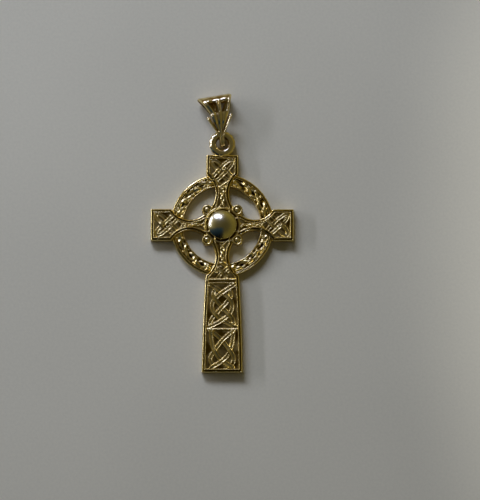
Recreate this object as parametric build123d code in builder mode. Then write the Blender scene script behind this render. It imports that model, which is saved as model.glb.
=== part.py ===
"""Celtic cross pendant with an openwork bail, lying on its back.

Millimetres. The origin is on the back face, under the middle of the boss.
+Y points to the head of the cross, +X to its right arm and +Z out of its front.
"""

import os
from math import atan2, cos, degrees, radians, sin, tan

from build123d import *

# Cross body, measured at its back face
arm_span = 26.2
head_reach = 12.9
foot_reach = 26.9
arm_half = 2.98
shaft_top_half = 3.12
foot_half = 3.74
shoulder_reach = 9.2
neck_reach = 6.0
neck_half_upright = 1.32
neck_half_side = 1.06
crotch_reach = 3.35
crotch_half = 2.05
body_thickness = 2.0
draft_angle = 8.5

# Relief on the front face
relief_depth = 0.3
rim_width = 0.38
strand_width = 0.58
strand_height = 0.27
fine_strand_width = 0.3
bar_width = 0.42
shaft_bar = 9.7
shaft_divider = 18.75

# Ring round the crossing
ring_outer = 9.5
ring_inner = 7.05
ring_thickness = 1.55
ring_rim = 0.36
ring_relief = 0.24
twist_width = 0.42
twist_swing = 0.5
twist_waves = 6
twist_from = 17.0

# Boss in its collar, and the roundels in the corners
boss_radius = 2.63
boss_rise = 1.25
collar_radius = 3.3
seat_gap = 0.22
seat_depth = 0.35
collar_height = 2.12
roundel_place = 2.75
roundel_radius = 0.97
roundel_rim = 0.34
roundel_height = 1.95
dish_depth = 0.25

# Loop on the head
loop_outer = 2.4
loop_hole = 1.05
loop_sink = 0.42

# Bail
bail_lean = 10.0
bail_sheet = 0.4
wire_clearance = 0.17
bail_slack = 1.2
bail_length = 9.45
fold_radius = 1.75
fan_width = 6.3
waist_width = 3.6
root_width = 1.4
tip_width = 0.9
window_head = 0.9
window_length = 2.9
edge_bar = 0.6
rib_width = 0.5
rib_rise = 0.15
petal_width = 0.5
petal_spread = 2.05
petal_length = 3.6
petal_bow = 0.22
petal_tip = 0.3

# The bail's waist, its root, its straight tip and where the petals start, up from its lowest point
waist_up = 6.3
root_up = 3.6
tip_up = 2.2
petal_up = 2.1

# Worked out from the sizes above
draft_run = body_thickness * tan(radians(draft_angle))
inset = draft_run + rim_width
ground = body_thickness - relief_depth
loop_wire = (loop_outer - loop_hole) / 2
loop_path = (loop_outer + loop_hole) / 2
loop_y = head_reach + loop_outer - loop_sink
turn_inner = loop_wire + wire_clearance
turn_outer = turn_inner + bail_sheet
wire_height = turn_outer
dome_radius = (boss_radius**2 + boss_rise**2) / (2 * boss_rise)

# Interlace charts. A row is one strand, and its points are across and up the
# panel, as shares of the panel's half width and half height.
PLAIT_CHART = [
    [(0.8, 1.0), (0.1, 0.62), (-0.4, 0.32), (-0.84, 0.05), (-0.84, -0.25), (-0.4, -0.52), (0.95, -1.0)],
    [(0.95, 0.9), (0.84, 0.62), (0.4, 0.3), (0.0, 0.0), (-0.45, -0.28), (-0.84, -0.55), (-0.95, -0.9)],
]
SALTIRE_CHART = [
    [(0.9, 1.0), (0.35, 0.66), (-0.12, 0.2), (-0.5, -0.22), (-0.84, -0.52), (-0.8, -0.82), (-0.45, -1.0)],
    [(0.74, 1.0), (0.82, 0.55), (0.7, 0.1), (0.3, -0.4), (-0.12, -0.7), (-0.65, -1.0)],
]
KNOT_CHART = [
    [(0.95, 0.95), (0.0, 0.1), (-0.72, -0.6), (-0.25, -1.15)],
    [(0.0, 0.98), (0.86, 0.22), (0.86, -0.2), (0.0, -0.9)],
]
TWIST_CHART = [
    [(0.9, 1.0), (-0.9, 0.34), (0.9, -0.34), (-0.9, -1.0)],
]
FLARE_CHART = [
    [(0.95, -0.95), (0.1, -0.1), (-0.3, 0.95)],
    [(0.0, -0.35), (0.5, -1.0)],
]


def shaft_half(reach):
    """Half width of the shaft at its back, at a distance below the boss."""
    share = (reach - shoulder_reach) / (foot_reach - shoulder_reach)
    return shaft_top_half + share * (foot_half - shaft_top_half)


def chart(rows, middle, half_width, half_height, width):
    """Trace the strands of a chart, and their mirror images, in the open sketch."""
    for row in rows:
        for side in (1, -1):
            points = [(side * u * half_width, middle + v * half_height) for u, v in row]
            for start, end in zip(points, points[1:]):
                with BuildLine() as run:
                    Line(start, end)
                trace(run.line, line_width=width)
            with Locations(points[1:-1]):
                Circle(width / 2)


def arm_chart(reach, half_width, half_length, neck_half):
    """Trace one arm's knot in its end box and the twist along its neck."""
    chart(KNOT_CHART, reach, half_width, half_length, strand_width)
    twist_end = reach - half_length
    twist_start = collar_radius
    middle = (twist_start + twist_end) / 2
    half_twist = (twist_end - twist_start) / 2
    chart(TWIST_CHART, middle, neck_half, half_twist, fine_strand_width)


def twist_point(step, side):
    """A point of the ring's two-strand twist, in the first quarter."""
    angle = twist_from + step * (90 - 2 * twist_from) / twist_waves
    swing = twist_swing if (step % 2 == 0) == (side > 0) else -twist_swing
    radius = (ring_outer + ring_inner) / 2 + swing
    return (radius * cos(radians(angle)), radius * sin(radians(angle)))


# Front outline of the cross, at its back face
with BuildSketch() as outline:
    with BuildLine():
        Line((0, head_reach), (arm_half, head_reach))
        Line((arm_half, head_reach), (arm_half, shoulder_reach))
        ThreePointArc(
            (arm_half, shoulder_reach), (neck_half_upright, neck_reach), (crotch_half, crotch_reach)
        )
        Line((crotch_half, crotch_reach), (crotch_reach, crotch_half))
        ThreePointArc(
            (crotch_reach, crotch_half), (neck_reach, neck_half_side), (shoulder_reach, arm_half)
        )
        Line((shoulder_reach, arm_half), (arm_span / 2, arm_half))
        Line((arm_span / 2, arm_half), (arm_span / 2, -arm_half))
        Line((arm_span / 2, -arm_half), (shoulder_reach, -arm_half))
        ThreePointArc(
            (shoulder_reach, -arm_half), (neck_reach, -neck_half_side), (crotch_reach, -crotch_half)
        )
        Line((crotch_reach, -crotch_half), (crotch_half, -crotch_reach))
        ThreePointArc(
            (crotch_half, -crotch_reach),
            (neck_half_upright, -neck_reach),
            (shaft_top_half, -shoulder_reach),
        )
        Line((shaft_top_half, -shoulder_reach), (foot_half, -foot_reach))
        Line((foot_half, -foot_reach), (0, -foot_reach))
        mirror(about=Plane.YZ)
    make_face()

# Floor of the sunk panels: inside the rim, less the bars and the collar
with BuildSketch(Plane.XY.offset(ground)) as panels:
    add(outline.sketch)
    offset(amount=-inset, kind=Kind.INTERSECTION)
    Circle(collar_radius, mode=Mode.SUBTRACT)
    for bar in (shaft_bar, shaft_divider):
        with Locations((0, -bar - bar_width / 2)):
            Rectangle(3 * foot_half, bar_width, mode=Mode.SUBTRACT)

# Strands of all the panels, kept inside them
with BuildSketch(Plane.XY.offset(ground)) as strands:
    upper_top = shaft_bar + bar_width
    upper_middle = (upper_top + shaft_divider) / 2
    upper_half = shaft_half(upper_middle) - inset
    chart(PLAIT_CHART, -upper_middle, upper_half, (shaft_divider - upper_top) / 2, strand_width)
    lower_top = shaft_divider + bar_width
    lower_bottom = foot_reach - inset
    lower_middle = (lower_top + lower_bottom) / 2
    lower_half = shaft_half(lower_middle) - inset
    chart(SALTIRE_CHART, -lower_middle, lower_half, (lower_bottom - lower_top) / 2, strand_width)
    flare_start = shoulder_reach - arm_half + neck_half_upright
    flare_middle = (flare_start + shaft_bar) / 2
    flare_half = (shaft_bar - flare_start) / 2
    chart(FLARE_CHART, -flare_middle, shaft_top_half - inset, flare_half, strand_width)
    neck_middle = (collar_radius + flare_start) / 2
    neck_run = (flare_start - collar_radius) / 2
    chart(TWIST_CHART, -neck_middle, neck_half_upright - inset, neck_run, fine_strand_width)
    head_end = head_reach - inset
    head_start = shoulder_reach - rim_width
    head_middle = (head_end + head_start) / 2
    head_run = (head_end - head_start) / 2
    arm_chart(head_middle, arm_half - inset, head_run, neck_half_upright - inset)
    add(panels.sketch, mode=Mode.INTERSECT)

with BuildSketch(Plane.XY.offset(ground)) as side_strands:
    side_end = arm_span / 2 - inset
    side_start = shoulder_reach - rim_width
    side_middle = (side_end + side_start) / 2
    side_run = (side_end - side_start) / 2
    arm_chart(side_middle, arm_half - inset, side_run, neck_half_side - inset)

# Two strands twisted together along a quarter of the ring
with BuildSketch() as twist:
    for side in (1, -1):
        with BuildLine():
            Polyline(*[twist_point(step, side) for step in range(twist_waves + 1)])
        trace(line_width=twist_width)

# The cross: one casting with its ring, roundels, collar, boss and loop
with BuildPart() as cross:
    with BuildSketch():
        Circle(ring_outer)
        Circle(ring_inner, mode=Mode.SUBTRACT)
    extrude(amount=ring_thickness)
    with BuildSketch(Plane.XY.offset(ring_thickness - ring_relief)):
        Circle(ring_outer - ring_rim)
        Circle(ring_inner + ring_rim, mode=Mode.SUBTRACT)
    extrude(amount=ring_relief, mode=Mode.SUBTRACT)
    with BuildSketch(Plane.XY.offset(ring_thickness - ring_relief)):
        for quarter in range(4):
            add(twist.sketch, rotation=90 * quarter)
    extrude(amount=ring_relief)

    with BuildSketch():
        add(outline.sketch)
    with BuildSketch(Plane.XY.offset(body_thickness)):
        add(outline.sketch)
        offset(amount=-draft_run, kind=Kind.INTERSECTION)
    loft(ruled=True)
    add(panels.sketch)
    extrude(amount=relief_depth, mode=Mode.SUBTRACT)
    add(strands.sketch)
    extrude(amount=strand_height)
    for turn in (90, -90):
        with BuildSketch(Plane.XY.offset(ground)):
            add(side_strands.sketch, rotation=turn)
            add(panels.sketch, mode=Mode.INTERSECT)
        extrude(amount=strand_height)

    with BuildSketch():
        with GridLocations(2 * roundel_place, 2 * roundel_place, 2, 2):
            Circle(roundel_radius)
    extrude(amount=roundel_height)
    with BuildSketch(Plane.XY.offset(roundel_height - dish_depth)):
        with GridLocations(2 * roundel_place, 2 * roundel_place, 2, 2):
            Circle(roundel_radius - roundel_rim)
    extrude(amount=dish_depth, mode=Mode.SUBTRACT)

    with BuildSketch():
        Circle(collar_radius)
    extrude(amount=collar_height)
    with BuildSketch(Plane.XY.offset(collar_height - seat_depth)):
        Circle(boss_radius + seat_gap)
    extrude(amount=seat_depth, mode=Mode.SUBTRACT)
    with BuildSketch(Plane.XZ):
        with BuildLine():
            Line((0, collar_height - seat_depth), (boss_radius, collar_height - seat_depth))
            Line((boss_radius, collar_height - seat_depth), (boss_radius, collar_height))
            RadiusArc((boss_radius, collar_height), (0, collar_height + boss_rise), -dome_radius)
            Line((0, collar_height + boss_rise), (0, collar_height - seat_depth))
        make_face()
    revolve(axis=Axis.Z)

    with Locations((0, loop_y, wire_height)):
        Torus(loop_path, loop_wire)

cross.part.label = "cross"

# The bail's own directions: across its leaves, and along it from the loop's middle
across = Vector(cos(radians(bail_lean)), sin(radians(bail_lean)), 0)
along = Vector(-sin(radians(bail_lean)), cos(radians(bail_lean)), 0)
bail_bottom = loop_hole - bail_slack - bail_sheet
turn_at = bail_bottom + turn_outer
fold_at = bail_bottom + bail_length - fold_radius
front_rise = 2 * (fold_radius - turn_outer)
front_slope = degrees(atan2(front_rise, fold_at - turn_at))
loop_middle = Vector(0, loop_y, 0)
side_view = Plane(origin=loop_middle, x_dir=along, z_dir=across)
front_view = Plane(origin=loop_middle, x_dir=across, z_dir=(0, 0, 1))
leaf_face = Plane(
    origin=loop_middle + along * turn_at + Vector(0, 0, turn_outer + turn_inner),
    x_dir=across,
    z_dir=Vector(0, 0, 1) * cos(radians(front_slope)) - along * sin(radians(front_slope)),
)


def band(margin):
    """Draw the closed side view of the bail's strip, a margin inside its outer face."""
    turn = turn_outer - margin
    fold = fold_radius - margin
    with BuildLine() as strip:
        Line((turn_at, margin), (fold_at, margin))
        ThreePointArc(
            (fold_at, margin), (fold_at + fold, fold_radius), (fold_at, 2 * fold_radius - margin)
        )
        Line((fold_at, 2 * fold_radius - margin), (turn_at, 2 * turn_outer - margin))
        ThreePointArc((turn_at, 2 * turn_outer - margin), (turn_at - turn, turn_outer), (turn_at, margin))
    return strip.line


def fan_half(up):
    """Half width of the fan at a height above the bail's lowest point."""
    rows = [
        (0, tip_width / 2),
        (tip_up, tip_width / 2),
        (root_up, root_width / 2),
        (waist_up, waist_width / 2),
        (bail_length, fan_width / 2),
    ]
    for (low, low_half), (high, high_half) in zip(rows, rows[1:]):
        if up <= high:
            return low_half + (up - low) / (high - low) * (high_half - low_half)
    return fan_width / 2


# The bail: a strip folded over the chain's way, its leaves opened into a fan
with BuildPart() as bail:
    with BuildSketch(side_view):
        make_face(band(0))
        make_face(band(bail_sheet), mode=Mode.SUBTRACT)
    extrude(amount=fan_width, both=True)
    with BuildSketch(front_view):
        with BuildLine():
            ups = [0, tip_up, root_up, waist_up, bail_length]
            right = [(fan_half(up), bail_bottom + up) for up in ups]
            left = [(-x, y) for x, y in reversed(right)]
            Polyline(*right, *left, close=True)
        make_face()
    extrude(amount=2 * fold_radius, mode=Mode.INTERSECT)
    with BuildSketch(front_view):
        window_end = bail_length - window_head
        window_start = window_end - window_length
        for side in (1, -1):
            with BuildLine():
                Polyline(
                    (side * rib_width / 2, bail_bottom + window_end),
                    (side * (fan_half(window_end) - edge_bar), bail_bottom + window_end),
                    (side * (fan_half(window_start) - edge_bar), bail_bottom + window_start),
                    (side * rib_width / 2, bail_bottom + window_start),
                    close=True,
                )
            make_face()
    extrude(amount=2 * fold_radius, mode=Mode.SUBTRACT)
    with BuildSketch(leaf_face):
        with BuildLine():
            Line((0, petal_up + bail_bottom - turn_at), (0, fold_at - turn_at))
        trace(line_width=rib_width)
    extrude(amount=bail_sheet + rib_rise)
    with BuildSketch(leaf_face):
        petal_root = petal_up + bail_bottom - turn_at
        for side in (1, -1):
            with BuildLine():
                petal_end = (side * petal_spread, petal_root + petal_length)
                SagittaArc((0, petal_root), petal_end, side * petal_bow)
            trace(line_width=petal_width)
            with Locations(petal_end):
                Circle(petal_tip)
    extrude(amount=bail_sheet)
bail.part.label = "bail"

os.makedirs("parts", exist_ok=True)
export_step(cross.part, "parts/cross.step")
export_step(bail.part, "parts/bail.step")
for piece in (cross, bail):
    print(piece.part.label, round(piece.part.volume, 1), "mm3", len(piece.part.solids()), "solid")
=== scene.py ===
"""Looks of the ringed cross pendant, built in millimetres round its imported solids.

Each operator makes one piece, or a group of like pieces, of the casting, the bail or the stage.
"""

from collections import namedtuple
from math import atan2, ceil, cos, degrees, pi, radians, sin, sqrt
from types import SimpleNamespace

import bmesh
import bpy
import numpy as np
from bpy.props import FloatProperty, FloatVectorProperty, PointerProperty
from mathutils import Matrix, Vector


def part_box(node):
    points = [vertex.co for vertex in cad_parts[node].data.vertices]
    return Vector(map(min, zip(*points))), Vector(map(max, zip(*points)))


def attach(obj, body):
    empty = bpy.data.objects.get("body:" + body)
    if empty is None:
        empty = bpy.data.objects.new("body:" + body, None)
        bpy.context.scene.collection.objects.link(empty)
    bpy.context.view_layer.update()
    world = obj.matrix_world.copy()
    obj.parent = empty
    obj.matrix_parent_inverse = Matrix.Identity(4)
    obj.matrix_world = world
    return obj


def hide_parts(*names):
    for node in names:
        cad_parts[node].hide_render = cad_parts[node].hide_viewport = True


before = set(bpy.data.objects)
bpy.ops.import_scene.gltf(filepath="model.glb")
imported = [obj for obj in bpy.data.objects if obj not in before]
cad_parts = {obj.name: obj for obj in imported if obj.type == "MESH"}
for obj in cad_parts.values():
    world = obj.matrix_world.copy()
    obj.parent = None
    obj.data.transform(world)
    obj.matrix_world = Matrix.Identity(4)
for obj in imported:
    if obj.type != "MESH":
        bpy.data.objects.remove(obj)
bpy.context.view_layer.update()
cross_low, cross_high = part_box("cross")

bl_info = {
    "name": "Ringed Cross Pendant",
    "version": (1, 0, 0),
    "blender": (4, 5, 0),
    "location": "3D View > Sidebar > Pendant",
    "description": "Models and finishes a cast gold pendant: a ringed cross with interlace, and its bail",
    "category": "Object",
}

MM = 0.001


def length(name, size, description):
    """A length that a user may change. It is written in millimetres and kept in metres."""
    return FloatProperty(name=name, description=description, default=size * MM, unit="LENGTH", precision=5)


def to_linear(text):
    """Linear colour of an sRGB hex value."""
    parts = [int(text[i : i + 2], 16) / 255 for i in (1, 3, 5)]
    return [c / 12.92 if c <= 0.04045 else ((c + 0.055) / 1.055) ** 2.4 for c in parts]


def colour(name, text, description):
    """A colour that a user may change, from its sRGB hex value."""
    return FloatVectorProperty(
        name=name, description=description, default=to_linear(text), subtype="COLOR", min=0, max=1
    )


class CrossSizes(bpy.types.PropertyGroup):
    """Sizes of the cast cross."""

    arm_span: length("Arm span", (cross_high[0] - cross_low[0]) / MM, "Across both arms, at the back")
    foot_reach: length("Foot reach", -cross_low[1] / MM, "From the boss down to the foot")
    head_reach: length("Head reach", 12.9, "From the boss up to the top of the head")
    arm_half: length("Arm half width", 2.98, "Half the width of an arm's box")
    shaft_top_half: length("Shaft half width, top", 3.12, "Half the shaft's width under the ring")
    foot_half: length("Shaft half width, foot", 3.74, "Half the shaft's width at its foot")
    shaft_bow: length("Shaft bow", 0.12, "How far the shaft's sides bow outwards between top and foot")
    shoulder_reach: length("Shoulder reach", 9.2, "Where an arm's box starts to narrow")
    neck_reach: length("Neck reach", 6.0, "Where an arm is narrowest")
    neck_half_upright: length("Neck half width", 1.32, "Half the width of the head's and shaft's necks")
    neck_half_side: length("Side neck half width", 1.06, "Half the width of the side arms' necks")
    crotch_reach: length("Crotch reach", 3.35, "Where two arms meet, along one of them")
    crotch_half: length("Crotch half width", 2.05, "Where two arms meet, across one of them")
    thickness: length("Thickness", 2.0, "From the back to the top of the beads")
    wall_draft: length("Wall draft", 0.08, "How far the side wall leans in, up to the lip")
    lip_base: length("Lip base", 1.54, "Where the wall ends and the bevelled lip starts")
    lip_width: length("Lip width", 0.26, "Width of the casting's bevelled outer lip")
    lip_height: length("Lip height", 1.82, "Height of the lip")
    groove_floor: length("Groove floor", 1.36, "Height of the groove inside the lip")
    bead_middle: length("Bead middle", 0.65, "From the back's edge to the bead's middle")
    bead_width: length("Bead width", 0.36, "Width of the bead that frames the panels")
    ground: length("Panel ground", 1.7, "Height of the sunk ground of the panels")
    bar_width: length("Bar width", 0.42, "Width of the two bars across the shaft")
    shaft_bar: length("Upper bar", 9.7, "From the boss to the bar over the upper panel")
    shaft_divider: length("Divider", 18.75, "From the boss to the bar between the panels")
    ribbon_width: length("Ribbon width", 0.94, "Width of the shaft's interlace ribbons")
    arm_ribbon_width: length("Arm ribbon width", 0.8, "Width of the arms' interlace ribbons")
    neck_cord: length("Neck cord", 0.36, "Width of the cords twisted down the arms' necks")
    ribbon_height: length("Ribbon height", 0.21, "How far a ribbon stands over its ground")
    ribbon_lift: length("Ribbon lift", 0.11, "How far a ribbon rises or dips where two cross")


class RingSizes(bpy.types.PropertyGroup):
    """Sizes of the ring behind the arms."""

    outer: length("Outer radius", 9.5, "The ring's outer radius")
    inner: length("Inner radius", 7.05, "The ring's inner radius")
    thickness: length("Thickness", 1.55, "From the back to the top of the ring's beads")
    wall_draft: length("Wall draft", 0.06, "How far the ring's walls lean in")
    lip_base: length("Lip base", 1.16, "Where the outer wall ends and the bevelled lip starts")
    lip_width: length("Lip width", 0.3, "Width of the ring's bevelled outer lip")
    lip_height: length("Lip height", 1.44, "Height of the ring's outer lip")
    groove_floor: length("Groove floor", 1.0, "Height of the groove inside the lip")
    outer_bead: length("Outer bead", 0.56, "From the outer edge to the bead's middle")
    inner_bead: length("Inner bead", 0.2, "From the inner edge to the bead's middle")
    bead_width: length("Bead width", 0.24, "Width of the ring's beads")
    ground: length("Channel ground", 1.14, "Height of the channel's ground")
    twist_turns: FloatProperty(
        name="Twist turns", description="Turns of the twist round the ring", default=10
    )
    twist_width: length("Twist width", 0.62, "Width of a strand of the ring's twist")
    twist_swing: length("Twist swing", 0.4, "How far a strand swings off the channel's middle")
    twist_height: length("Twist height", 0.19, "How far a strand stands over the channel's ground")
    twist_lift: length("Twist lift", 0.12, "How far a strand rises or dips where two cross")


class BossSizes(bpy.types.PropertyGroup):
    """Sizes of the boss, its collar, the roundels and the loop."""

    radius: length("Boss radius", 2.63, "Radius of the domed boss")
    rise: length("Boss rise", 1.25, "How far the dome stands over its collar")
    collar_radius: length("Collar radius", 3.3, "Outer radius of the collar")
    collar_height: length("Collar height", 1.98, "Height of the collar's top")
    collar_rim: length("Collar rim", 0.12, "Radius of the collar's rounded rim")
    dome_seat: length("Dome seat", 2.12, "Height of the dome's lowest edge")
    dome_curve: length("Dome curve", 4.03, "Radius of the dome's top")
    dome_edge: length("Dome edge", 0.3, "Radius of the dome's rounded edge")
    seat_gap: length("Seat gap", 0.2, "The crevice between the boss and its collar")
    seat_depth: length("Seat depth", 0.35, "Depth of the crevice")
    roundel_place: length("Roundel place", 2.75, "Where a roundel stands, across and up")
    roundel_radius: length("Roundel radius", 0.97, "Outer radius of a roundel")
    roundel_height: length("Roundel height", 1.95, "Height of a roundel's rim")
    roundel_groove: length("Roundel groove", 0.6, "Radius of the groove inside a roundel's rim")
    loop_outer: length("Loop outer radius", 2.4, "Outer radius of the loop on the head")
    loop_hole: length("Loop hole radius", 1.05, "Radius of the loop's hole")
    loop_sink: length("Loop sink", 0.42, "How deep the loop sits in the head")
    loop_middle: length("Loop height", 1.245, "Height of the loop's wire")


class BailSizes(bpy.types.PropertyGroup):
    """Sizes of the openwork bail."""

    sheet: length("Sheet", 0.4, "Thickness of the bail's strip")
    crown: length("Crown", 3.62, "Height of the bail's highest point")
    total: length("Length", 9.45, "From the bail's lowest point to its fold")
    bottom: length("Lowest point", -0.55, "Lowest point, along the bail from the loop's middle")
    turn_outer: length("Turn radius", 1.245, "Outer radius of the turn round the loop's wire")
    fold_radius: length("Fold radius", 1.75, "Outer radius of the fold round the chain's way")
    fan_width: length("Fan width", 6.3, "Width of the fan at its top")
    waist_width: length("Waist width", 3.6, "Width of the fan at its waist")
    root_width: length("Root width", 1.4, "Width where the leaf starts to open")
    tip_width: length("Tip width", 0.78, "Width of the straight tip")
    window_head: length("Window head", 1.22, "Metal left over the windows")
    window_length: length("Window length", 2.0, "Length of the windows")
    edge_bar: length("Edge bar", 0.5, "Width of the bars beside the windows")
    broad_bar: length("Broad bar", 0.95, "Width of the front leaf's left bar")
    back_bar: length("Back bar", 1.9, "Width of the back leaf's left bar")
    rib_width: length("Rib width", 0.42, "Width of the rib down the leaf")
    rib_rise: length("Rib rise", 0.13, "How far the rib stands over the leaf")
    petal_width: length("Petal width", 0.64, "Width of a petal under its tip")
    petal_spread: length("Petal spread", 2.19, "How far the left petal's tip stands out")
    petal_length: length("Petal length", 4.1, "Length of a petal")
    petal_drop: length("Petal drop", 0.08, "How much shorter the right petal is")
    petal_tip: length("Petal tip", 0.3, "Radius of a petal's tip")
    petal_bow: length("Petal bow", -0.05, "How far a petal bows outwards, or inwards if negative")
    petal_start: length("Petal start", 1.3, "Where the petals start, over the lowest point")
    sway: length("Sway", 0.54, "How far the front leaf and its petals are bent to the right")


class PendantColours(bpy.types.PropertyGroup):
    """Colours of the metal and the stage."""

    gold: colour("Gold", "#F0D781", "Clean yellow gold")
    # The recess colour is partly grime and partly painted shade in the hollows
    gold_recess: colour("Gold in recesses", "#5E4502", "Gold under the grime of the recesses")
    gold_bail: colour("Bail gold", "#F2DE9C", "Clean yellow gold of the bail and the loop")
    # The boss's gold is a darker copy of the bail's gold: painted shade over the whole boss
    gold_boss: colour("Boss gold", "#D0C48B", "Burnished gold of the boss, under a faint haze")
    # The bail's recess colour is partly grime and partly painted shade in its grooves and between its parts
    bail_recess: colour("Bail gold in recesses", "#94722A", "Gold under the bail's thin grime")
    paper: colour("Paper", "#E6E0CC", "The pale paper that the pendant lies on")


GROUPS = {
    "pendant_cross": CrossSizes,
    "pendant_ring": RingSizes,
    "pendant_boss": BossSizes,
    "pendant_bail": BailSizes,
    "pendant_colours": PendantColours,
}
# The bail lies turned to the left by this angle
BAIL_LEAN = radians(10)

# The relief attribute runs from 0 in the recesses, coloured as grime and painted shade, to 1 on the
# high lines. Outer edges, which rub on clothes, go beyond that: the casting's, and the bail's fan.
RUBBED_BRIGHT = 1.5
FAN_EDGE = 1.3

# A strand's points are across and along its panel, as shares of the panel's half width and half
# length. Each row also has a mirrored strand.
UPPER_CHART = [
    [(-0.93, 0.95), (-0.43, 0.76), (0.0, 0.57), (0.46, 0.34), (0.77, 0.01), (0.62, -0.34), (0.05, -0.66),
     (-0.5, -0.84), (-1.02, -0.99)],
    [(0.56, 0.64), (0.66, 0.42), (0.42, 0.2), (0.0, -0.09), (-0.4, -0.37), (-0.74, -0.6), (-0.84, -0.82)],
]
LOWER_CHART = [
    [(0.95, 1.08), (0.32, 0.72), (-0.12, 0.34), (-0.46, -0.06), (-0.76, -0.42), (-0.72, -0.72),
     (-0.44, -0.98)],
    [(0.72, 1.0), (0.7, 0.6), (0.62, 0.2), (0.5, -0.12), (0.26, -0.44), (-0.14, -0.72), (-0.7, -0.98)],
]
KNOT_CHART = [
    [(-0.19, 0.19), (-0.84, -0.46), (-0.9, -0.9), (-0.46, -0.84), (0.84, 0.46), (0.92, 0.92), (0.46, 0.84),
     (-0.19, 0.19)],
]
FLARE_CHART = [
    [(0.86, -0.95), (0.36, -0.3), (-0.12, 0.35), (-0.34, 1.0)],
    [(0.0, -1.0), (0.5, -0.55), (0.46, 0.1)],
]
FAN_CHART = [
    [(0.96, -0.45), (0.6, -0.8), (0.12, -1.06), (-0.3, -1.36)],
]
NECK_CHART = [
    [(0.9, 1.0), (-0.9, 0.36), (0.9, -0.3), (-0.9, -1.0)],
]

# One arm of the cross: how far it is turned from straight up, and its sizes
Arm = namedtuple("Arm", "name turn reach shoulder_half end_half neck_half")


def settings(context):
    """The sizes in millimetres, and the colours, of every property group of the scene."""
    groups = {}
    for name, kind in GROUPS.items():
        group = getattr(context.scene, name)
        values = {key: getattr(group, key) for key in kind.__annotations__}
        for key, value in values.items():
            if kind is PendantColours:
                values[key] = tuple(value)
            elif key != "twist_turns":
                values[key] = value / MM
        groups[name.removeprefix("pendant_")] = SimpleNamespace(**values)
    return SimpleNamespace(**groups)


def smooth_step(value, low, high):
    """0 under low, 1 over high, and smooth between them."""
    share = np.clip((value - low) / (high - low), 0, 1)
    return share * share * (3 - 2 * share)


def swell(off, width):
    """Height of a soft swelling, by the distance from its middle, where it is 1."""
    return np.exp(-((off / width) ** 2))


def rounded(off, width, low, high):
    """Height of a round-topped bead, by the distance from its middle. It is 0 beside the bead."""
    share = 2 * off / width
    return np.where(abs(share) < 1, low + (high - low) * np.sqrt(np.clip(1 - share**2, 0, 1)), 0)


def bevelled(off, width, low, high):
    """Height of a lip, by the distance from the wall: a round corner, a bevel, and a rounded inner edge."""
    share = np.clip(off / width, 0, 1)
    corner = np.sqrt(1 - (1 - np.minimum(share / 0.3, 1)) ** 2)
    bevel = 0.43 * corner + 0.57 * share * (1.32 - 0.32 * share)
    inner = 1 - 0.75 * np.clip((share - 0.58) / 0.42, 0, 1) ** 2
    return np.where(off < width, low + (high - low) * bevel * inner, 0)


def uneven(x, y, grain, seed):
    """Smooth unevenness between -1 and 1, whose lumps are as large as the grain."""
    size = 64
    cells = np.random.default_rng(seed).uniform(-1, 1, (size, size))
    x, y = np.asarray(x) / grain, np.asarray(y) / grain
    column, row = np.floor(x).astype(int), np.floor(y).astype(int)
    u, v = smooth_step(x - column, 0, 1), smooth_step(y - row, 0, 1)

    def across(line):
        line = line % size
        return cells[line, column % size] * (1 - u) + cells[line, (column + 1) % size] * u

    return across(row) * (1 - v) + across(row + 1) * v


def face_outwards(mesh):
    """Turn all faces of a closed mesh round when it is wound inside out."""
    closed = bmesh.new()
    closed.from_mesh(mesh)
    inside_out = closed.calc_volume(signed=True) < 0
    closed.free()
    if inside_out:
        mesh.flip_normals()


def place(name, points, faces, relief, body, material, node):
    """Make a smooth mesh object from points in millimetres. It stands for part of a CAD node."""
    mesh = bpy.data.meshes.new(name)
    mesh.from_pydata((np.asarray(points) * MM).tolist(), [], faces)
    mesh.validate()
    face_outwards(mesh)
    mesh.polygons.foreach_set("use_smooth", [True] * len(mesh.polygons))
    layer = mesh.attributes.new("relief", "FLOAT", "POINT")
    layer.data.foreach_set("value", np.asarray(relief, dtype=np.float32).ravel())
    mesh.materials.append(material)
    piece = bpy.data.objects.new(name, mesh)
    bpy.context.collection.objects.link(piece)
    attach(piece, body)
    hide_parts(node)
    return piece


def grid_faces(rows, columns, wrap_rows=False, wrap_columns=False):
    """The quads of a grid of points, joined round where it closes on itself."""
    j = np.arange(rows if wrap_rows else rows - 1)[:, None]
    i = np.arange(columns if wrap_columns else columns - 1)[None, :]
    j2, i2 = (j + 1) % rows, (i + 1) % columns
    corners = [j * columns + i, j * columns + i2, j2 * columns + i2, j2 * columns + i]
    return np.stack(corners, axis=-1).reshape(-1, 4).tolist()


# Interlace


def round_off(points, times=3):
    """Cut a strand's corners again and again, so that it runs in smooth bends."""
    points = np.array(points, dtype=float)
    for _ in range(times):
        near = points[:-1] * 0.75 + points[1:] * 0.25
        far = points[:-1] * 0.25 + points[1:] * 0.75
        middle = np.stack([near, far], axis=1).reshape(-1, 2)
        points = np.concatenate([points[:1], middle, points[-1:]])
    return points


def strands_of(chart, middle, half_width, half_length):
    """The smooth strands of a chart and their mirror images, across and along an arm."""
    strands = []
    for row in chart:
        for side in (1, -1):
            scaled = [(side * u * half_width, middle + v * half_length) for u, v in row]
            strands.append(round_off(scaled))
    return strands


def along_of(strand):
    """How far each point of a strand lies along it."""
    steps = np.linalg.norm(np.diff(strand, axis=0), axis=1)
    return np.concatenate([[0], np.cumsum(steps)])


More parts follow.
